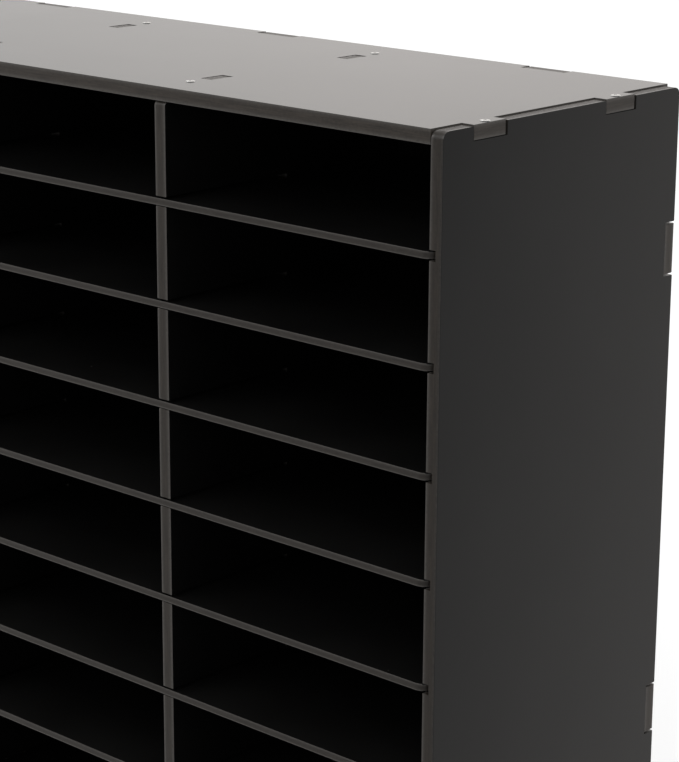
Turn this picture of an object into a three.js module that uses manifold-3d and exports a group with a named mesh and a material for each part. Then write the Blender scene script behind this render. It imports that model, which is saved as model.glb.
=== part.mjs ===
// Pigeonhole mail sorter: a flat-pack carcass of routed black boards, three columns by eight rows.
// The top and bottom boards tab through the sides and take the dividers' tabs in through slots, the back
// tabs into notches all round, and thin loose shelves lap the dividers and run in grooves in the sides.
// Millimetres, +X to the right, +Y to the back, +Z up, origin on the floor under the middle of the sorter.

import * as THREE from 'three';
import { mergeVertices } from 'three/addons/utils/BufferGeometryUtils.js';
import Module from 'manifold-3d';

const wasm = await Module();
wasm.setup();

// Board stock
const BOARD = 12;
const SHELF_BOARD = 6;

// Compartments, clear between boards, and the depth from the front edge to the rear face
const COLUMNS = 3;
const ROWS = 8;
const COLUMN_CLEAR = 287;
const ROW_CLEAR = 82;
const DEPTH = 305;

// Rounded corners of the boards, in the plane of each board
const SIDE_CORNER = 7;
const DIVIDER_CORNER = 4;
const SHELF_CORNER = 11;

// The sides end this far below the face of the top board
const SIDE_DROP = 1.2;

// Tabs at the ends of the top and bottom boards, placed from the front and rear edges
const END_TAB = 38;
const END_TAB_FROM_FRONT = 56;
const END_TAB_FROM_REAR = 82;
const END_NOTCH_PLAY = 2.8;

// Tabs on the dividers, placed from the front edge and from the back board
const DIVIDER_TAB = 22;
const DIVIDER_TAB_FROM_FRONT = 67;
const DIVIDER_TAB_FROM_BACK = 57;
const DIVIDER_SLOT_PLAY = 3.5;

// Tabs round the back board, placed from the outside of the carcass
const BACK_TAB = 43;
const BACK_TAB_FROM_TOP = 138;
const BACK_TAB_FROM_BOTTOM = 166;
const BACK_TAB_FROM_SIDE = 135;
const BACK_NOTCH_PLAY = 3.5;

// Grooves in the sides for the shelf ends, and how far back the dividers are slotted for the shelves
const GROOVE_DEPTH = 6;
const LAP_DEPTH = 146;

// Countersunk wood screws: beside the divider tabs and through the end tabs
const SCREW_LENGTH = 40;
const SCREW_RADIUS = 2;
const SCREW_TIP = 5;
const HEAD_RADIUS = 4.1;
const HEAD_RIM = 0.9;
const SCREW_BESIDE_SLOT = 18.5;

// Clearances
const JOINT_GAP = 0.5;
const TAB_SHY = 0.3;
const SHELF_SEAT = 0.6;
const SHELF_HEADROOM = 1.8;
const SHELF_END_GAP = 2.5;
const SHELF_BACK_GAP = 0.5;
const LAP_GAP = 0.4;
const SCREW_GAP = 0.2;
const SCREW_SUNK = 0.3;

// Roundness of the drawn curves
const CORNER_STEPS = 3;
const SCREW_SIDES = 16;

// Overall sizes and reference planes
const SHELVES = ROWS - 1;
const DIVIDERS = COLUMNS - 1;
const INNER_WIDTH = COLUMNS * COLUMN_CLEAR + DIVIDERS * BOARD;
const WIDTH = INNER_WIDTH + 2 * BOARD;
const HEIGHT = ROWS * ROW_CLEAR + SHELVES * SHELF_BOARD + 2 * BOARD;
const INNER_DEPTH = DEPTH - BOARD;
const FRONT = -DEPTH / 2;
const TAB_REACH = BOARD + JOINT_GAP - TAB_SHY;
const NOTCH_REACH = BOARD + JOINT_GAP;
const DIVIDER_SLOT = DIVIDER_TAB + DIVIDER_SLOT_PLAY;

// Depths of the joints, measured back from the front edge
const END_TAB_DEPTHS = [END_TAB_FROM_FRONT, DEPTH - END_TAB_FROM_REAR];
const DIVIDER_TAB_DEPTHS = [DIVIDER_TAB_FROM_FRONT, INNER_DEPTH - DIVIDER_TAB_FROM_BACK];
const SCREW_OFFSET = DIVIDER_SLOT / 2 + SCREW_BESIDE_SLOT;
const DIVIDER_SCREW_DEPTHS = [DIVIDER_TAB_DEPTHS[0] - SCREW_OFFSET, DIVIDER_TAB_DEPTHS[1] + SCREW_OFFSET];

// Heights of the joints, and their places across the carcass
const BACK_TAB_HEIGHTS = [BACK_TAB_FROM_BOTTOM, HEIGHT - BACK_TAB_FROM_TOP];
const BACK_TAB_SPREAD = WIDTH / 2 - BACK_TAB_FROM_SIDE;
const BACK_TAB_XS = range(COLUMNS).map((i) => spread(i, COLUMNS, BACK_TAB_SPREAD));
const DIVIDER_XS = range(DIVIDERS).map((i) => (i + 1 - COLUMNS / 2) * (COLUMN_CLEAR + BOARD));
const SIDE_XS = [-(WIDTH - BOARD) / 2, (WIDTH - BOARD) / 2];
const SHELF_HEIGHTS = range(SHELVES).map((i) => HEIGHT - BOARD - (i + 1) * (ROW_CLEAR + SHELF_BOARD));

// Every screw stands over a divider or over a side
const SCREW_SPOTS = [
  ...DIVIDER_XS.flatMap((x) => DIVIDER_SCREW_DEPTHS.map((depth) => ({ x, depth }))),
  ...SIDE_XS.flatMap((x) => END_TAB_DEPTHS.map((depth) => ({ x, depth }))),
];

// Finishes: black lacquered board faces and bright zinc screws
const boardFinish = new THREE.MeshStandardMaterial({ color: 0x1b1a19, roughness: 0.42, metalness: 0 });
const shelfFinish = new THREE.MeshStandardMaterial({ color: 0x171615, roughness: 0.45, metalness: 0 });
const screwFinish = new THREE.MeshStandardMaterial({ color: 0xc9cacb, roughness: 0.28, metalness: 1 });

function range(count) {
  return Array.from({ length: count }, (_, i) => i);
}

// Place of copy i of a row of copies that reaches from -reach to +reach
function spread(i, count, reach) {
  return count > 1 ? reach * (2 * i / (count - 1) - 1) : 0;
}

// Outline of a routed board, walked anticlockwise from its lower left corner. A feature is a tab that
// stands out of its edge by its rise, or a notch that goes in by a negative one, centred at a coordinate.
function boardOutline(low, high, edges, radii = {}) {
  const walk = [
    { edge: 'bottom', corner: 'lowLeft', from: [low.x, low.y], along: [1, 0], heading: 0 },
    { edge: 'right', corner: 'lowRight', from: [high.x, low.y], along: [0, 1], heading: Math.PI / 2 },
    { edge: 'top', corner: 'highRight', from: [high.x, high.y], along: [-1, 0], heading: Math.PI },
    { edge: 'left', corner: 'highLeft', from: [low.x, high.y], along: [0, -1], heading: 1.5 * Math.PI },
  ];
  const outline = new THREE.Shape();
  for (const { edge, corner, from, along, heading } of walk) {
    const [ux, uy] = along;
    const point = (distance, rise) => [
      from[0] + ux * distance + uy * rise,
      from[1] + uy * distance - ux * rise,
    ];
    const radius = radii[corner] ?? 0;
    if (radius > 0) {
      const [cx, cy] = point(radius, -radius);
      outline.absarc(cx, cy, radius, heading - Math.PI, heading - Math.PI / 2, false);
    } else if (edge === 'bottom') {
      outline.moveTo(...from);
    } else {
      outline.lineTo(...from);
    }
    const stops = (edges[edge] ?? []).map(({ at, length, rise }) => {
      const middle = ux * (at - from[0]) + uy * (at - from[1]);
      return { start: middle - length / 2, end: middle + length / 2, rise };
    });
    stops.sort((a, b) => a.start - b.start);
    for (const { start, end, rise } of stops) {
      outline.lineTo(...point(start, 0));
      outline.lineTo(...point(start, rise));
      outline.lineTo(...point(end, rise));
      outline.lineTo(...point(end, 0));
    }
  }
  outline.closePath();
  return outline;
}

// A closed geometry as a solid that can be cut
function toSolid(geometry) {
  const bare = geometry.clone();
  bare.deleteAttribute('normal');
  bare.deleteAttribute('uv');
  const merged = mergeVertices(bare);
  const corners = merged.index.array;
  const triangles = [];
  for (let i = 0; i < corners.length; i += 3) {
    const [a, b, c] = corners.slice(i, i + 3);
    if (a !== b && b !== c && c !== a) triangles.push(a, b, c);
  }
  return new wasm.Manifold(new wasm.Mesh({
    numProp: 3,
    vertProperties: Float32Array.from(merged.attributes.position.array),
    triVerts: Uint32Array.from(triangles),
  }));
}

function toGeometry(solid) {
  const { vertProperties, triVerts } = solid.getMesh();
  const geometry = new THREE.BufferGeometry();
  geometry.setAttribute('position', new THREE.BufferAttribute(vertProperties, 3));
  geometry.setIndex(new THREE.BufferAttribute(triVerts, 1));
  geometry.computeVertexNormals();
  return geometry;
}

function board(name, outline, thickness, cutters, finish) {
  const blank = new THREE.ExtrudeGeometry(outline, {
    depth: thickness,
    bevelEnabled: false,
    curveSegments: CORNER_STEPS,
  });
  const cut = cutters.reduce((solid, cutter) => solid.subtract(toSolid(cutter)), toSolid(blank));
  const mesh = new THREE.Mesh(toGeometry(cut), finish);
  mesh.name = name;
  return mesh;
}

// Half section of a screw along +Y, with the board's face at height 0. With a gap it is the hole for it.
function screwSection(sunk, gap) {
  const neck = -sunk - (HEAD_RADIUS - SCREW_RADIUS);
  const crown = gap > 0 ? HEAD_RIM + gap : HEAD_RIM - sunk;
  return [
    new THREE.Vector2(0, -SCREW_LENGTH - sunk - gap),
    new THREE.Vector2(SCREW_RADIUS + gap, SCREW_TIP - SCREW_LENGTH - sunk),
    new THREE.Vector2(SCREW_RADIUS + gap, neck),
    new THREE.Vector2(HEAD_RADIUS + gap, -sunk),
    new THREE.Vector2(HEAD_RADIUS + gap, crown),
    new THREE.Vector2(0, crown),
  ];
}

function screwHole(sunk) {
  return new THREE.LatheGeometry(screwSection(sunk, SCREW_GAP), SCREW_SIDES);
}

// The top screws stand on the board by their rims, and the bottom ones are sunk below the floor face
const ENDS = [
  { name: 'top', face: HEIGHT, up: 1, sunk: 0 },
  { name: 'bottom', face: 0, up: -1, sunk: HEAD_RIM + SCREW_SUNK },
];

const rows = (xs, length, rise) => xs.map((at) => ({ at, length, rise }));

// Top or bottom board, drawn from above: end tabs, divider slots, notches for the back and screw holes
function endBoard({ name, face, up, sunk }) {
  const half = INNER_WIDTH / 2 - JOINT_GAP;
  const tabYs = END_TAB_DEPTHS.map((depth) => FRONT + depth - END_NOTCH_PLAY / 2 + JOINT_GAP);
  const outline = boardOutline(new THREE.Vector2(-half, FRONT), new THREE.Vector2(half, FRONT + DEPTH), {
    left: rows(tabYs, END_TAB, TAB_REACH),
    right: rows(tabYs, END_TAB, TAB_REACH),
    top: rows(BACK_TAB_XS, BACK_TAB + BACK_NOTCH_PLAY, -NOTCH_REACH),
  });
  const slots = DIVIDER_XS.flatMap((x) => DIVIDER_TAB_DEPTHS.map((depth) => (
    new THREE.BoxGeometry(BOARD + 2 * JOINT_GAP, DIVIDER_SLOT, 4 * BOARD).translate(x, FRONT + depth, 0)
  )));
  const outerFace = up > 0 ? BOARD : 0;
  const holes = SCREW_SPOTS.map(({ x, depth }) => (
    screwHole(sunk).rotateX(up * Math.PI / 2).translate(x, FRONT + depth, outerFace)
  ));
  const mesh = board(`${name}_panel`, outline, BOARD, [...slots, ...holes], boardFinish);
  mesh.position.z = face - outerFace;
  return mesh;
}

// Screw holes down through an upright board, drawn with depth to the right and height up
function uprightScrewHoles(depths) {
  return ENDS.flatMap(({ face, up, sunk }) => depths.map((depth) => (
    screwHole(sunk).rotateZ(up > 0 ? 0 : Math.PI).translate(depth, face, BOARD / 2)
  )));
}

function standUpright(mesh, x) {
  mesh.rotation.set(Math.PI / 2, 0, Math.PI / 2, 'ZYX');
  mesh.position.set(x - BOARD / 2, FRONT, 0);
  return mesh;
}

// Side board: open notches for the tabs of the top, bottom and back, and shelf grooves in the inner face
function sideBoard(name, x) {
  const notch = END_TAB + END_NOTCH_PLAY;
  const outline = boardOutline(new THREE.Vector2(0, 0), new THREE.Vector2(DEPTH, HEIGHT - SIDE_DROP), {
    bottom: rows(END_TAB_DEPTHS, notch, -NOTCH_REACH),
    top: rows(END_TAB_DEPTHS, notch, SIDE_DROP - NOTCH_REACH),
    right: rows(BACK_TAB_HEIGHTS, BACK_TAB + BACK_NOTCH_PLAY, -NOTCH_REACH),
  }, { lowLeft: SIDE_CORNER, lowRight: SIDE_CORNER, highRight: SIDE_CORNER, highLeft: SIDE_CORNER });
  const grooveHeight = SHELF_SEAT + SHELF_BOARD + SHELF_HEADROOM;
  const innerFace = x > 0 ? 0 : BOARD;
  const grooves = SHELF_HEIGHTS.map((height) => (
    new THREE.BoxGeometry(2 * INNER_DEPTH, grooveHeight, 2 * GROOVE_DEPTH)
      .translate(0, height - SHELF_SEAT + grooveHeight / 2, innerFace)
  ));
  const mesh = board(name, outline, BOARD, [...grooves, ...uprightScrewHoles(END_TAB_DEPTHS)], boardFinish);
  return standUpright(mesh, x);
}

// Divider: tabs through the top and bottom boards, slotted from the front to lap the shelves
function divider(name, x) {
  const low = new THREE.Vector2(0, BOARD + JOINT_GAP);
  const high = new THREE.Vector2(INNER_DEPTH - JOINT_GAP, HEIGHT - BOARD - JOINT_GAP);
  const slotHeight = SHELF_SEAT + SHELF_BOARD + SHELF_HEADROOM;
  const slotMiddles = SHELF_HEIGHTS.map((height) => height - SHELF_SEAT + slotHeight / 2);
  const outline = boardOutline(low, high, {
    bottom: rows(DIVIDER_TAB_DEPTHS, DIVIDER_TAB, TAB_REACH),
    top: rows(DIVIDER_TAB_DEPTHS, DIVIDER_TAB, TAB_REACH),
    left: rows(slotMiddles, slotHeight, -LAP_DEPTH),
  }, { lowLeft: DIVIDER_CORNER, highLeft: DIVIDER_CORNER });
  const mesh = board(name, outline, BOARD, uprightScrewHoles(DIVIDER_SCREW_DEPTHS), boardFinish);
  return standUpright(mesh, x);
}

// Back board, flush with the rear edges and tabbed into the top, bottom and sides
function backBoard() {
  const halfWidth = INNER_WIDTH / 2 - JOINT_GAP;
  const low = new THREE.Vector2(-halfWidth, BOARD + JOINT_GAP);
  const high = new THREE.Vector2(halfWidth, HEIGHT - BOARD - JOINT_GAP);
  const outline = boardOutline(low, high, {
    bottom: rows(BACK_TAB_XS, BACK_TAB, TAB_REACH),
    top: rows(BACK_TAB_XS, BACK_TAB, TAB_REACH),
    left: rows(BACK_TAB_HEIGHTS, BACK_TAB, TAB_REACH),
    right: rows(BACK_TAB_HEIGHTS, BACK_TAB, TAB_REACH),
  });
  const mesh = board('back_panel', outline, BOARD, [], boardFinish);
  mesh.rotation.x = Math.PI / 2;
  mesh.position.y = FRONT + DEPTH;
  return mesh;
}

// Shelf: one loose board across all columns, slotted from the rear to lap the dividers
function shelf(name, height) {
  const half = INNER_WIDTH / 2 + GROOVE_DEPTH - SHELF_END_GAP;
  const depth = INNER_DEPTH - SHELF_BACK_GAP;
  const outline = boardOutline(new THREE.Vector2(-half, FRONT), new THREE.Vector2(half, FRONT + depth), {
    top: rows(DIVIDER_XS, BOARD + 2 * LAP_GAP, LAP_DEPTH - LAP_GAP - depth),
  }, { lowLeft: SHELF_CORNER, lowRight: SHELF_CORNER });
  const mesh = board(name, outline, SHELF_BOARD, [], shelfFinish);
  mesh.position.z = height;
  return mesh;
}

function screw(name, { x, depth }, { face, up, sunk }) {
  const mesh = new THREE.Mesh(new THREE.LatheGeometry(screwSection(sunk, 0), SCREW_SIDES), screwFinish);
  mesh.name = name;
  mesh.rotation.x = up * Math.PI / 2;
  mesh.position.set(x, FRONT + depth, face);
  return mesh;
}

const carcass = new THREE.Group();
carcass.add(...ENDS.map(endBoard));
carcass.add(sideBoard('left_side', SIDE_XS[0]), sideBoard('right_side', SIDE_XS[1]));
carcass.add(...DIVIDER_XS.map((x, i) => divider(`divider_${i + 1}`, x)));
carcass.add(backBoard());

const shelves = new THREE.Group();
shelves.add(...SHELF_HEIGHTS.map((height, i) => shelf(`shelf_${i + 1}`, height)));

const screws = new THREE.Group();
for (const end of ENDS) {
  screws.add(...SCREW_SPOTS.map((spot, i) => screw(`${end.name}_screw_${i + 1}`, spot, end)));
}

const sorter = new THREE.Group();
sorter.name = 'pigeonhole_sorter';
sorter.add(carcass, shelves, screws);

export default sorter;
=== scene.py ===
import bmesh
import bpy
import math
from mathutils import Matrix, Vector


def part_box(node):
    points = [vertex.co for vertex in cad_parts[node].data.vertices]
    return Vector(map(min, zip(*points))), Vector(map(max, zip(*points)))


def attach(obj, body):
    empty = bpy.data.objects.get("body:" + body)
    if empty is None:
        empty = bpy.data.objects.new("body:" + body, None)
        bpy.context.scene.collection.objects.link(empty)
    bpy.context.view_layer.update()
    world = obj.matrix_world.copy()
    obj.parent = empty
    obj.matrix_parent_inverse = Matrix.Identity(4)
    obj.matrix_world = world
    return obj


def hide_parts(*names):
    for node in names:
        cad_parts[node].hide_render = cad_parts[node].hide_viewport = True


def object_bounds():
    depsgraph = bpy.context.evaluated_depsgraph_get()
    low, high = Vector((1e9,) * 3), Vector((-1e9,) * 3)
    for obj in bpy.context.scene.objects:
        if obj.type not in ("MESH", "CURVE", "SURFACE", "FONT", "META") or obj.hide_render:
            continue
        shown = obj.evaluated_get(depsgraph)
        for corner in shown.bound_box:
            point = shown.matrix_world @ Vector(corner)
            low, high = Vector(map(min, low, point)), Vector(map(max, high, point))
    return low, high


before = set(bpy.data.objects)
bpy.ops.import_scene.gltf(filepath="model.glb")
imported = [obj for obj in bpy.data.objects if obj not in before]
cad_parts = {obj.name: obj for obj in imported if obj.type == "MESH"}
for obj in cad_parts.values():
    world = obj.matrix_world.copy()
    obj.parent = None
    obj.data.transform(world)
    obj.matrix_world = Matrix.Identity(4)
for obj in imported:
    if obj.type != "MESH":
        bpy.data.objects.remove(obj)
CAD_LOW, CAD_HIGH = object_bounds()

# The photograph's camera: a long lens to the front right of the sorter, a little above its top.
# It is turned in steps: azimuth round the sorter, then the dip below the horizon, then a slight roll.
IMAGE_HEIGHT = 762
FOCAL_PIXELS = 2438.5
SENSOR = 36.0
CAMERA_FROM_CORNER = Vector((1.1476, -1.3748, 0.3109))
CAMERA_AZIMUTH, CAMERA_DIP, CAMERA_ROLL = 42.29, 15.73, 0.31

right_low, right_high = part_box("right_side")
front_top_right = Vector((right_high.x, right_low.y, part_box("top_panel")[1].z))
camera_data = bpy.data.cameras.new("camera")
camera_data.sensor_width = SENSOR
camera_data.lens = FOCAL_PIXELS * SENSOR / IMAGE_HEIGHT
camera = bpy.data.objects.new("camera", camera_data)
camera.matrix_world = (
    Matrix.Translation(front_top_right + CAMERA_FROM_CORNER)
    @ Matrix.Rotation(math.radians(CAMERA_AZIMUTH), 4, "Z")
    @ Matrix.Rotation(math.radians(90 - CAMERA_DIP), 4, "X")
    @ Matrix.Rotation(math.radians(CAMERA_ROLL), 4, "Z")
)
bpy.context.scene.collection.objects.link(camera)
bpy.context.scene.camera = camera
bpy.context.scene.view_settings.view_transform = "Standard"

# The studio: an even white surround, one broad soft lamp from the front left, and a pale floor.
# The camera sees surround and floor as plain white. The floor keeps the shadow, and is clear from below.
# In reflections the surround is a warm white wall behind the sorter, and a grey room in front of it.
SURROUND_LIGHT = 0.75
PLAIN_WHITE = (1, 1, 1, 1)
WALL_DIRECTION, WALL_LEFT = (-0.70, 0.70, -0.16), (-1.0, 0.0, 0.0)
WALL_WHITE, WALL_FAR_WHITE = (1.0, 0.96, 0.93, 1), (0.86, 0.84, 0.82, 1)
ROOM_GREY = (0.245, 0.245, 0.245, 1)
ROOM_ENDS, WALL_STARTS = 0.076, 0.44
FAR_WALL_STARTS, FAR_WALL_ENDS = 0.65, 0.79
LAMP_PLACE, LAMP_AIM = Vector((-1.3, -2.3, 2.4)), Vector((0, 0, 0.35))
LAMP_SIZE, LAMP_POWER = 1.8, 14.0
FLOOR_COLOUR = (0.62, 0.62, 0.62, 1)
FLOOR_LIFT = 0.60
FLOOR_SIZE, FLOOR_CLEAR = 14.0, 0.0005


def new_tree(owner):
    """The emptied node tree of a world or a material."""
    owner.use_nodes = True
    owner.node_tree.nodes.clear()
    return owner.node_tree


def choice(tree, factor, first, second):
    """A shader that is the second one where the factor is 1."""
    mix = tree.nodes.new("ShaderNodeMixShader")
    for socket, source in zip(mix.inputs, (factor, first, second)):
        tree.links.new(source, socket)
    return mix.outputs[0]


def mix_colour(tree, factor, first, second):
    """A colour that is the second one where the factor is 1. Each is a constant or a node's output."""
    node = tree.nodes.new("ShaderNodeMix")
    node.data_type = "RGBA"
    tree.links.new(factor, node.inputs["Factor"])
    colour_inputs = [socket for socket in node.inputs if socket.type == "RGBA"]
    for socket, value in zip(colour_inputs, (first, second)):
        if isinstance(value, tuple):
            socket.default_value = value
        else:
            tree.links.new(value, socket)
    return next(socket for socket in node.outputs if socket.type == "RGBA")


def math_node(tree, operation, first, second=0.0):
    """Arithmetic on one or two values, each a constant or a node's output."""
    node = tree.nodes.new("ShaderNodeMath")
    node.operation = operation
    for socket, value in zip(node.inputs, (first, second)):
        if isinstance(value, (int, float)):
            socket.default_value = value
        else:
            tree.links.new(value, socket)
    return node.outputs[0]


def facing(tree, direction, axis, starts, ends):
    """How far a direction has turned towards an axis, from 0 where it starts to 1 where it ends."""
    turned_to = tree.nodes.new("ShaderNodeVectorMath")
    turned_to.operation = "DOT_PRODUCT"
    turned_to.inputs[1].default_value = axis
    tree.links.new(direction, turned_to.inputs[0])
    share = tree.nodes.new("ShaderNodeMapRange")
    share.inputs["From Min"].default_value = starts
    share.inputs["From Max"].default_value = ends
    tree.links.new(turned_to.outputs["Value"], share.inputs["Value"])
    return share.outputs["Result"]


world = bpy.data.worlds.new("white_surround")
bpy.context.scene.world = world
tree = new_tree(world)
lit, shown, mirrored = (tree.nodes.new("ShaderNodeBackground") for _ in range(3))
lit.inputs["Color"].default_value = shown.inputs["Color"].default_value = PLAIN_WHITE
lit.inputs["Strength"].default_value = SURROUND_LIGHT
looking = tree.nodes.new("ShaderNodeTexCoord").outputs["Generated"]
far_wall = facing(tree, looking, WALL_LEFT, FAR_WALL_STARTS, FAR_WALL_ENDS)
wall = mix_colour(tree, far_wall, WALL_WHITE, WALL_FAR_WHITE)
behind = facing(tree, looking, WALL_DIRECTION, ROOM_ENDS, WALL_STARTS)
tree.links.new(mix_colour(tree, behind, ROOM_GREY, wall), mirrored.inputs["Color"])
path = tree.nodes.new("ShaderNodeLightPath")
surround = choice(tree, path.outputs["Is Glossy Ray"], lit.outputs[0], mirrored.outputs[0])
surround = choice(tree, path.outputs["Is Transmission Ray"], surround, shown.outputs[0])
surround = choice(tree, path.outputs["Is Camera Ray"], surround, shown.outputs[0])
tree.links.new(surround, tree.nodes.new("ShaderNodeOutputWorld").inputs["Surface"])

lamp_data = bpy.data.lights.new("soft_lamp", "AREA")
lamp_data.size, lamp_data.energy = LAMP_SIZE, LAMP_POWER
lamp = bpy.data.objects.new("soft_lamp", lamp_data)
lamp.location = LAMP_PLACE
lamp.rotation_euler = (LAMP_AIM - LAMP_PLACE).to_track_quat("-Z", "Y").to_euler()
lamp.visible_camera = False
bpy.context.scene.collection.objects.link(lamp)

floor_material = bpy.data.materials.new("pale_floor")
tree = new_tree(floor_material)
paint = tree.nodes.new("ShaderNodeBsdfDiffuse")
paint.inputs["Color"].default_value = FLOOR_COLOUR
lift = tree.nodes.new("ShaderNodeEmission")
seen = tree.nodes.new("ShaderNodeLightPath").outputs["Is Camera Ray"]
tree.links.new(math_node(tree, "MULTIPLY", seen, FLOOR_LIFT), lift.inputs["Strength"])
both = tree.nodes.new("ShaderNodeAddShader")
tree.links.new(paint.outputs[0], both.inputs[0])
tree.links.new(lift.outputs[0], both.inputs[1])
from_below = tree.nodes.new("ShaderNodeNewGeometry").outputs["Backfacing"]
clear = tree.nodes.new("ShaderNodeBsdfTransparent")
ground = choice(tree, from_below, both.outputs[0], clear.outputs[0])
tree.links.new(ground, tree.nodes.new("ShaderNodeOutputMaterial").inputs["Surface"])

floor_mesh = bpy.data.meshes.new("floor")
half = FLOOR_SIZE / 2
floor_corners = [(-half, -half, 0), (half, -half, 0), (half, half, 0), (-half, half, 0)]
floor_mesh.from_pydata(floor_corners, [], [(0, 1, 2, 3)])
floor_mesh.materials.append(floor_material)
floor = bpy.data.objects.new("floor", floor_mesh)
floor.location.z = CAD_LOW.z - FLOOR_CLEAR
floor.visible_glossy = False
bpy.context.scene.collection.objects.link(floor)

# Side boards: 12 mm black lacquered fibreboard, routed to shape with open notches and shelf grooves.
# The faces are satin black, and the cut edges and grooves show the raw, dark dyed core, set darker here
# than on
# the other boards: partly their own tone, partly painted shade for the sides standing farthest from the
# lamp.
# Their notches take the end tabs of the top and the bottom, where screws hold them.
X, Y, Z = range(3)
ARRIS, ARRIS_STEPS, ARRIS_PROFILE = 0.0005, 2, 0.6
SHARP_ANGLE, FLAT_ANGLE = math.radians(25), math.radians(0.5)
SAME_POINT = 1e-6
CUT_TILT, FACE_TILT, ON_FACE = 0.1, 0.99, ARRIS / 10
BARE_REACH = 0.002
LACQUER, LACQUER_WORN, BOARD_DUST = (0.0046, 0.0045, 0.0044, 1), (0.0062, 0.0061, 0.0060, 1), 0.5
# The sides' core tones are darker than the other boards': partly their own tone, partly painted shade.
SIDE_SHADED_CORE_DARK, SIDE_SHADED_CORE_PALE = (0.0125, 0.0098, 0.0078, 1), (0.0400, 0.0315, 0.0240, 1)
# The light band along the arrises of a routed edge is partly dense skin and partly painted highlight.
SKIN_AND_HIGHLIGHT, SIDE_OUTER_SKIN_PAINTED_SHADE = (0.103, 0.097, 0.091, 1), (0.040, 0.038, 0.036, 1)
NOISE_LOW, NOISE_HIGH = 0.3, 0.7


def surface_group(name, inputs):
    """A node group for a surface with its named inputs, and its input and output nodes."""
    group = bpy.data.node_groups.new(name, "ShaderNodeTree")
    for label, kind in inputs:
        group.interface.new_socket(label, in_out="INPUT", socket_type=kind)
    group.interface.new_socket("Color", in_out="OUTPUT", socket_type="NodeSocketColor")
    for label in ("Roughness", "Height"):
        group.interface.new_socket(label, in_out="OUTPUT", socket_type="NodeSocketFloat")
    return group, group.nodes.new("NodeGroupInput"), group.nodes.new("NodeGroupOutput")


def noise(tree, vector, scale, detail=3.0, roughness=0.55):
    node = tree.nodes.new("ShaderNodeTexNoise")
    node.inputs["Scale"].default_value = scale
    node.inputs["Detail"].default_value = detail
    node.inputs["Roughness"].default_value = roughness
    tree.links.new(vector, node.inputs["Vector"])
    return node.outputs["Fac"]


def ramp(tree, value, low, high, start=0.0, end=1.0):
    """A smooth rise from start, where the value is low, to end, where it is high."""
    node = tree.nodes.new("ShaderNodeMapRange")
    node.interpolation_type = "SMOOTHSTEP"
    for label, number in (("From Min", low), ("From Max", high), ("To Min", start), ("To Max", end)):
        node.inputs[label].default_value = number
    tree.links.new(value, node.inputs["Value"])
    return node.outputs["Result"]


# Satin lacquer: a thin black coat, rolled on, with faint clouds and a fine orange peel.
# A few specks of pale dust lie on it in patches.
CLOUD_SCALE, CLOUD_DETAIL = 9.0, 4.0
WORN_STARTS, WORN_ENDS = 0.35, 0.7
SATIN_STARTS, SATIN_ENDS, SATIN_LEAST, SATIN_MOST = 0.3, 0.75, 0.13, 0.15
PEEL_SCALE, PEEL_DETAIL, PEEL_STRENGTH, PEEL_HEIGHT = 520.0, 2.0, 0.05, 0.0001
SPECK_SCALE, SPECK_EDGE, SPECK_MIDDLE = 42.0, 0.035, 0.020
PATCH_SCALE, PATCH_DETAIL, PATCH_STARTS = 31.0, 1.0, 0.66
DUST_COLOUR, DUST_ROUGHER = (0.45, 0.44, 0.42, 1), 0.4

lacquer, given, made = surface_group(
    "satin_lacquer",
    [("Black", "NodeSocketColor"), ("Worn", "NodeSocketColor"), ("Dust", "NodeSocketFloat")],
)
place = lacquer.nodes.new("ShaderNodeTexCoord").outputs["Object"]
clouds = noise(lacquer, place, CLOUD_SCALE, CLOUD_DETAIL)
peel = noise(lacquer, place, PEEL_SCALE, PEEL_DETAIL)
specks = lacquer.nodes.new("ShaderNodeTexVoronoi")
specks.inputs["Scale"].default_value = SPECK_SCALE
lacquer.links.new(place, specks.inputs["Vector"])
speck_spots = ramp(lacquer, specks.outputs["Distance"], SPECK_EDGE, SPECK_MIDDLE)
patches = noise(lacquer, place, PATCH_SCALE, PATCH_DETAIL)
dusty = math_node(lacquer, "GREATER_THAN", patches, PATCH_STARTS)
dust_spots = math_node(lacquer, "MULTIPLY", speck_spots, dusty)
dust = math_node(lacquer, "MULTIPLY", dust_spots, given.outputs["Dust"])
worn = ramp(lacquer, clouds, WORN_STARTS, WORN_ENDS)
coat = mix_colour(lacquer, worn, given.outputs["Black"], given.outputs["Worn"])
lacquer.links.new(mix_colour(lacquer, dust, coat, DUST_COLOUR), made.inputs["Color"])
satin = ramp(lacquer, clouds, SATIN_STARTS, SATIN_ENDS, SATIN_LEAST, SATIN_MOST)
dulled = math_node(lacquer, "MULTIPLY", dust, DUST_ROUGHER)
lacquer.links.new(math_node(lacquer, "ADD", satin, dulled), made.inputs["Roughness"])
lacquer.links.new(peel, made.inputs["Height"])

# Routed edge: the raw core where the cutter passed. Its fibres run as faint, mottled streaks along the cut,
# and the board's two dense skins are smoother than its middle. Towards both arrises the edge is painted
# lighter:
# partly the greyer dense skin, partly a painted highlight where the eased arrises catch the light.
STREAKS_ALONG, STREAKS_ACROSS, STREAK_SCALE, STREAK_DETAIL = 38.0, 9.0, 1.0, 5.0
MOTTLE_SCALE, MOTTLE_DETAIL = 420.0, 4.0
FIBRE_ROUGHNESS, FIBRE_STRENGTH, FIBRE_HEIGHT = 0.6, 0.06, 0.0003
STREAK_SHARE, MOTTLE_SHARE = 0.65, 0.35
DARK_ENDS, PALE_STARTS = 0.28, 0.74
CORE_SMOOTH, CORE_ROUGH = 0.36, 0.46
SKIN_AND_HIGHLIGHT_FADE, SKIN_SMOOTHER = 3.6, 0.27
ANY_RUN, MIDDLE = (1, 1, 1), 0.5

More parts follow.
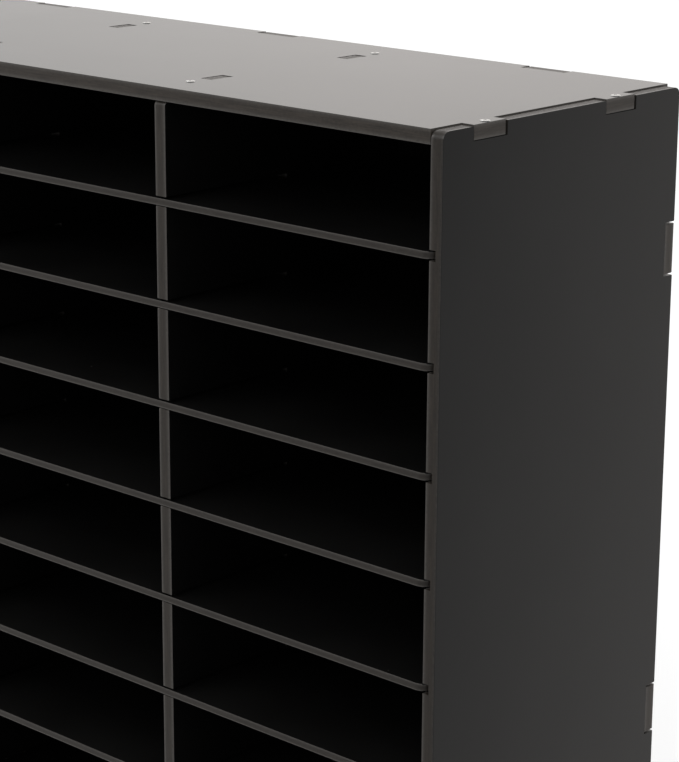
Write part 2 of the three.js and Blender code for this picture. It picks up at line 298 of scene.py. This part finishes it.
edge, given, made = surface_group(
    "routed_edge", [(label, "NodeSocketColor") for label in ("Dark", "Pale", "Skin", "Outer Skin")]
)
place = edge.nodes.new("ShaderNodeTexCoord").outputs["Object"]
across_share = edge.nodes.new("ShaderNodeAttribute")
across_share.attribute_name = "across"
across = across_share.outputs["Fac"]
run = edge.nodes.new("ShaderNodeVectorMath")
run.operation = "DOT_PRODUCT"
run.inputs[1].default_value = ANY_RUN
edge.links.new(place, run.inputs[0])
along_cut = edge.nodes.new("ShaderNodeCombineXYZ")
edge.links.new(math_node(edge, "MULTIPLY", run.outputs["Value"], STREAKS_ALONG), along_cut.inputs["X"])
edge.links.new(math_node(edge, "MULTIPLY", across, STREAKS_ACROSS), along_cut.inputs["Y"])
streaks = noise(edge, along_cut.outputs[0], STREAK_SCALE, STREAK_DETAIL, FIBRE_ROUGHNESS)
mottle = noise(edge, place, MOTTLE_SCALE, MOTTLE_DETAIL, FIBRE_ROUGHNESS)
streak_part = math_node(edge, "MULTIPLY", streaks, STREAK_SHARE)
mottle_part = math_node(edge, "MULTIPLY", mottle, MOTTLE_SHARE)
fibres = math_node(edge, "ADD", streak_part, mottle_part)
paleness = ramp(edge, fibres, DARK_ENDS, PALE_STARTS)
core = mix_colour(edge, paleness, given.outputs["Dark"], given.outputs["Pale"])
from_middle = math_node(edge, "ABSOLUTE", math_node(edge, "SUBTRACT", across, MIDDLE))
near_skin_and_highlight = math_node(edge, "POWER", math_node(edge, "DIVIDE", from_middle, MIDDLE), SKIN_AND_HIGHLIGHT_FADE)
outer_half = math_node(edge, "GREATER_THAN", across, MIDDLE)
skin_and_highlight = mix_colour(edge, outer_half, given.outputs["Skin"], given.outputs["Outer Skin"])
edge.links.new(mix_colour(edge, near_skin_and_highlight, core, skin_and_highlight), made.inputs["Color"])
smoothed = math_node(edge, "MULTIPLY", near_skin_and_highlight, SKIN_SMOOTHER)
core_roughness = ramp(edge, mottle, NOISE_LOW, NOISE_HIGH, CORE_SMOOTH, CORE_ROUGH)
edge.links.new(math_node(edge, "SUBTRACT", core_roughness, smoothed), made.inputs["Roughness"])
edge.links.new(fibres, made.inputs["Height"])


def surface_material(name, group, values, bump_strength, bump_height):
    """A material that takes its colour, roughness and bump from one of the surface groups."""
    material = bpy.data.materials.new(name)
    tree = new_tree(material)
    surface = tree.nodes.new("ShaderNodeGroup")
    surface.node_tree = group
    for label, value in values.items():
        surface.inputs[label].default_value = value
    bump = tree.nodes.new("ShaderNodeBump")
    bump.inputs["Strength"].default_value = bump_strength
    bump.inputs["Distance"].default_value = bump_height
    shader = tree.nodes.new("ShaderNodeBsdfPrincipled")
    tree.links.new(surface.outputs["Height"], bump.inputs["Height"])
    tree.links.new(surface.outputs["Color"], shader.inputs["Base Color"])
    tree.links.new(surface.outputs["Roughness"], shader.inputs["Roughness"])
    tree.links.new(bump.outputs["Normal"], shader.inputs["Normal"])
    tree.links.new(shader.outputs[0], tree.nodes.new("ShaderNodeOutputMaterial").inputs["Surface"])
    return material


def lacquered_face(name, black, worn, dust):
    values = {"Black": black, "Worn": worn, "Dust": dust}
    return surface_material(name, lacquer, values, PEEL_STRENGTH, PEEL_HEIGHT)


def routed_edge(name, dark, pale, outer_skin=SKIN_AND_HIGHLIGHT):
    values = {"Dark": dark, "Pale": pale, "Skin": SKIN_AND_HIGHLIGHT, "Outer Skin": outer_skin}
    return surface_material(name, edge, values, FIBRE_STRENGTH, FIBRE_HEIGHT)


def dressed_board(node, axis, face_material, edge_material, outward=0):
    """The CAD board, thin along the axis, with its arrises eased. The lacquer covers both faces and laps
    over the arrises. Every cut surface and the arrises along the front show the raw core, with a light band
    along the arrises that is partly painted highlight. An outer board, whose outer face points outward
    along the axis, keeps the black lacquer on its outer arrises as painted shade there, and its inner arris
    is bare along the top too, to carry the painted highlight."""
    low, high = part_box(node)
    solid = bmesh.new()
    solid.from_mesh(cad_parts[node].data)
    bmesh.ops.remove_doubles(solid, verts=solid.verts, dist=SAME_POINT)
    bmesh.ops.dissolve_limit(solid, angle_limit=FLAT_ANGLE, verts=solid.verts, edges=solid.edges)
    convex = [line for line in solid.edges if line.is_manifold and line.is_convex]
    bmesh.ops.bevel(
        solid,
        geom=[line for line in convex if line.calc_face_angle() > SHARP_ANGLE],
        offset=ARRIS,
        segments=ARRIS_STEPS,
        profile=ARRIS_PROFILE,
        affect="EDGES",
        clamp_overlap=True,
    )
    for face in solid.faces:
        centre, tilt = face.calc_center_median(), abs(face.normal[axis])
        on_face = min(centre[axis] - low[axis], high[axis] - centre[axis]) < ON_FACE
        # Bare arrises show the edge's light band with its painted highlight. An outer board's outer arrises
        # stay black lacquer as painted shade.
        bare = centre.y < low.y + BARE_REACH or (outward and centre.z > high.z - BARE_REACH)
        painted_arris = CUT_TILT < tilt < FACE_TILT and (not bare or face.normal[axis] * outward > 0)
        face.material_index = 0 if painted_arris or (tilt > FACE_TILT and on_face) else 1
        face.smooth = True
    mesh = bpy.data.meshes.new(f"dressed_{node}")
    solid.to_mesh(mesh)
    solid.free()
    mesh.set_sharp_from_angle(angle=SHARP_ANGLE)
    mesh.materials.append(face_material)
    mesh.materials.append(edge_material)
    share = mesh.attributes.new("across", "FLOAT", "POINT")
    for vertex, value in zip(mesh.vertices, share.data):
        from_low = (vertex.co[axis] - low[axis]) / (high[axis] - low[axis])
        value.value = 1 - from_low if outward < 0 else from_low
    piece = bpy.data.objects.new(f"dressed_{node}", mesh)
    bpy.context.scene.collection.objects.link(piece)
    weighted = piece.modifiers.new("flat_faces", "WEIGHTED_NORMAL")
    weighted.keep_sharp = True
    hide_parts(node)
    return piece


board_face = lacquered_face("black_board_face", LACQUER, LACQUER_WORN, BOARD_DUST)
# The sides' outer skin band is painted darker: painted shade on their outer arrises.
side_edge = routed_edge("routed_side_edge_with_shade", SIDE_SHADED_CORE_DARK, SIDE_SHADED_CORE_PALE, SIDE_OUTER_SKIN_PAINTED_SHADE)
for node, outward in (("left_side", -1), ("right_side", 1)):
    side = dressed_board(node, X, board_face, side_edge, outward)
    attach(side, "carcass")

# Dividers: two upright boards of the same lacquered fibreboard between the three columns.
# They are tabbed through the top and the bottom, held there by screws, and slotted from the front,
# so that the shelves lap them.
DIVIDER_CORE_DARK, DIVIDER_CORE_PALE = (0.0140, 0.0112, 0.0090, 1), (0.0450, 0.0360, 0.0280, 1)
divider_edge = routed_edge("routed_divider_edge", DIVIDER_CORE_DARK, DIVIDER_CORE_PALE)
for node in ("divider_1", "divider_2"):
    divider = dressed_board(node, X, board_face, divider_edge)
    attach(divider, "carcass")

# Bottom, back and top: three more panels of the same lacquered board. The bottom and the top have end tabs
# for the sides, through slots for the dividers and countersunk holes for the screws. The back is tabbed
# into notches all round.
PANEL_CORE_DARK, PANEL_CORE_PALE = (0.018, 0.0145, 0.0120, 1), (0.058, 0.047, 0.037, 1)
panel_edge = routed_edge("routed_panel_edge", PANEL_CORE_DARK, PANEL_CORE_PALE)
for node, thin_axis in (("bottom_panel", Z), ("back_panel", Y), ("top_panel", Z)):
    panel = dressed_board(node, thin_axis, board_face, panel_edge)
    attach(panel, "carcass")

# Shelves: thin 6 mm boards of the same black stock, each one piece across all three columns.
# They are slotted from the rear to lap the dividers, and lie loose in the grooves of the sides,
# so each rides on its own body.
# The shelves' lacquer is set lighter than the other boards': painted light for the light falling on the
# shelf tops near the front.
SHELF_LIT_BLACK, SHELF_LIT_WORN, SHELF_DUST = (0.0078, 0.0076, 0.0074, 1), (0.0104, 0.0102, 0.0099, 1), 0.6
SHELF_CORE_DARK, SHELF_CORE_PALE = (0.0145, 0.0119, 0.0100, 1), (0.0450, 0.0375, 0.0306, 1)
shelf_face = lacquered_face("black_shelf_face_painted_lighter", SHELF_LIT_BLACK, SHELF_LIT_WORN, SHELF_DUST)
shelf_edge = routed_edge("routed_shelf_edge", SHELF_CORE_DARK, SHELF_CORE_PALE)
for node in sorted(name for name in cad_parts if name.startswith("shelf_")):
    shelf = dressed_board(node, Z, shelf_face, shelf_edge)
    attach(shelf, node)

# Screws: bright zinc plated countersunk wood screws with a cross recess, through the top and the bottom
# into the dividers and the sides. The top ones stand on their rims and the bottom ones are sunk, so each
# takes its place and its direction from its own CAD screw.
HEAD_RADIUS, HEAD_RIM, RIM_ROUND = 0.0041, 0.0009, 0.00022
CROWN, CROWN_HALFWAY_DROP = 0.00025, 0.25
SHANK_RADIUS, TIP = 0.0020, 0.005
RECESS_WIDTH, RECESS_LENGTH, RECESS_DEPTH = 0.0011, 0.0046, 0.0014
RECESS_FOOT_WIDTH, RECESS_FOOT_LENGTH, RECESS_RUN_OUT = 0.75, 0.45, 0.001
SCREW_STEPS = 40
SCREW_TURN = math.radians(137.5)
ZINC, ZINC_SMOOTH, ZINC_ROUGH, ZINC_GRAIN = (0.78, 0.78, 0.77, 1), 0.22, 0.36, 900.0

zinc = bpy.data.materials.new("zinc_plate")
tree = new_tree(zinc)
shader = tree.nodes.new("ShaderNodeBsdfPrincipled")
shader.inputs["Base Color"].default_value = ZINC
shader.inputs["Metallic"].default_value = 1.0
grain = noise(tree, tree.nodes.new("ShaderNodeTexCoord").outputs["Object"], ZINC_GRAIN)
dulling = ramp(tree, grain, NOISE_LOW, NOISE_HIGH, ZINC_SMOOTH, ZINC_ROUGH)
tree.links.new(dulling, shader.inputs["Roughness"])
tree.links.new(shader.outputs[0], tree.nodes.new("ShaderNodeOutputMaterial").inputs["Surface"])


def turned(profile, steps):
    """A closed turned form along Z from a half section that starts and ends on the axis."""
    form = bmesh.new()
    angles = [2 * math.pi * i / steps for i in range(steps)]
    rings = []
    for radius, height in profile[1:-1]:
        points = [(radius * math.cos(a), radius * math.sin(a), height) for a in angles]
        rings.append([form.verts.new(point) for point in points])
    first = form.verts.new((0, 0, profile[0][1]))
    last = form.verts.new((0, 0, profile[-1][1]))
    for i in range(steps):
        j = (i + 1) % steps
        form.faces.new((first, rings[0][j], rings[0][i]))
        for below, above in zip(rings, rings[1:]):
            form.faces.new((below[i], below[j], above[j], above[i]))
        form.faces.new((last, rings[-1][i], rings[-1][j]))
    return form


def unlinked_object(name, form):
    """An object with the form as its mesh. The form itself is freed."""
    mesh = bpy.data.meshes.new(name)
    form.to_mesh(mesh)
    form.free()
    return bpy.data.objects.new(name, mesh)


def recess_blade(turn):
    """One blade of the cross recess: a wedge that narrows towards its foot."""
    blade = bmesh.new()
    bmesh.ops.create_cube(blade, size=1.0)
    for vertex in blade.verts:
        at_foot = vertex.co.z < 0
        vertex.co.x *= RECESS_LENGTH * (RECESS_FOOT_LENGTH if at_foot else 1)
        vertex.co.y *= RECESS_WIDTH * (RECESS_FOOT_WIDTH if at_foot else 1)
        vertex.co.z = HEAD_RIM + (-RECESS_DEPTH if at_foot else RECESS_RUN_OUT)
    bmesh.ops.rotate(blade, verts=blade.verts, matrix=Matrix.Rotation(turn, 3, "Z"))
    return unlinked_object("recess_blade", blade)


screw_low, screw_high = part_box("top_screw_1")
screw_length = screw_high.z - screw_low.z - HEAD_RIM
shoulder = HEAD_RIM - CROWN
screw_section = [
    (0, -screw_length),
    (SHANK_RADIUS, TIP - screw_length),
    (SHANK_RADIUS, SHANK_RADIUS - HEAD_RADIUS),
    (HEAD_RADIUS, 0),
    (HEAD_RADIUS, shoulder - 2 * RIM_ROUND),
    (HEAD_RADIUS - RIM_ROUND, shoulder - RIM_ROUND / 2),
    (HEAD_RADIUS - 3 * RIM_ROUND, shoulder),
    (HEAD_RADIUS / 2, HEAD_RIM - CROWN_HALFWAY_DROP * CROWN),
    (0, HEAD_RIM),
]
blank = unlinked_object("screw_blank", turned(screw_section, SCREW_STEPS))
blades = [recess_blade(turn) for turn in (0, math.pi / 2)]
for cutter in blades:
    cut = blank.modifiers.new("recess", "BOOLEAN")
    cut.operation = "DIFFERENCE"
    cut.object = cutter
for shape in (blank, *blades):
    bpy.context.scene.collection.objects.link(shape)
cut_blank = blank.evaluated_get(bpy.context.evaluated_depsgraph_get())
screw_mesh = bpy.data.meshes.new_from_object(cut_blank)
for shape in (blank, *blades):
    bpy.data.objects.remove(shape)
for polygon in screw_mesh.polygons:
    polygon.use_smooth = True
screw_mesh.set_sharp_from_angle(angle=SHARP_ANGLE)
screw_mesh.materials.clear()
screw_mesh.materials.append(zinc)

screw_names = sorted(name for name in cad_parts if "_screw_" in name)
for count, node in enumerate(screw_names):
    low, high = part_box(node)
    upwards = node.startswith("top")
    seat = high.z - HEAD_RIM if upwards else low.z + HEAD_RIM
    screw = bpy.data.objects.new(f"dressed_{node}", screw_mesh)
    screw.location = ((low.x + high.x) / 2, (low.y + high.y) / 2, seat)
    screw.rotation_euler = (0 if upwards else math.pi, 0, count * SCREW_TURN)
    bpy.context.scene.collection.objects.link(screw)
    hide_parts(node)
    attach(screw, "carcass")
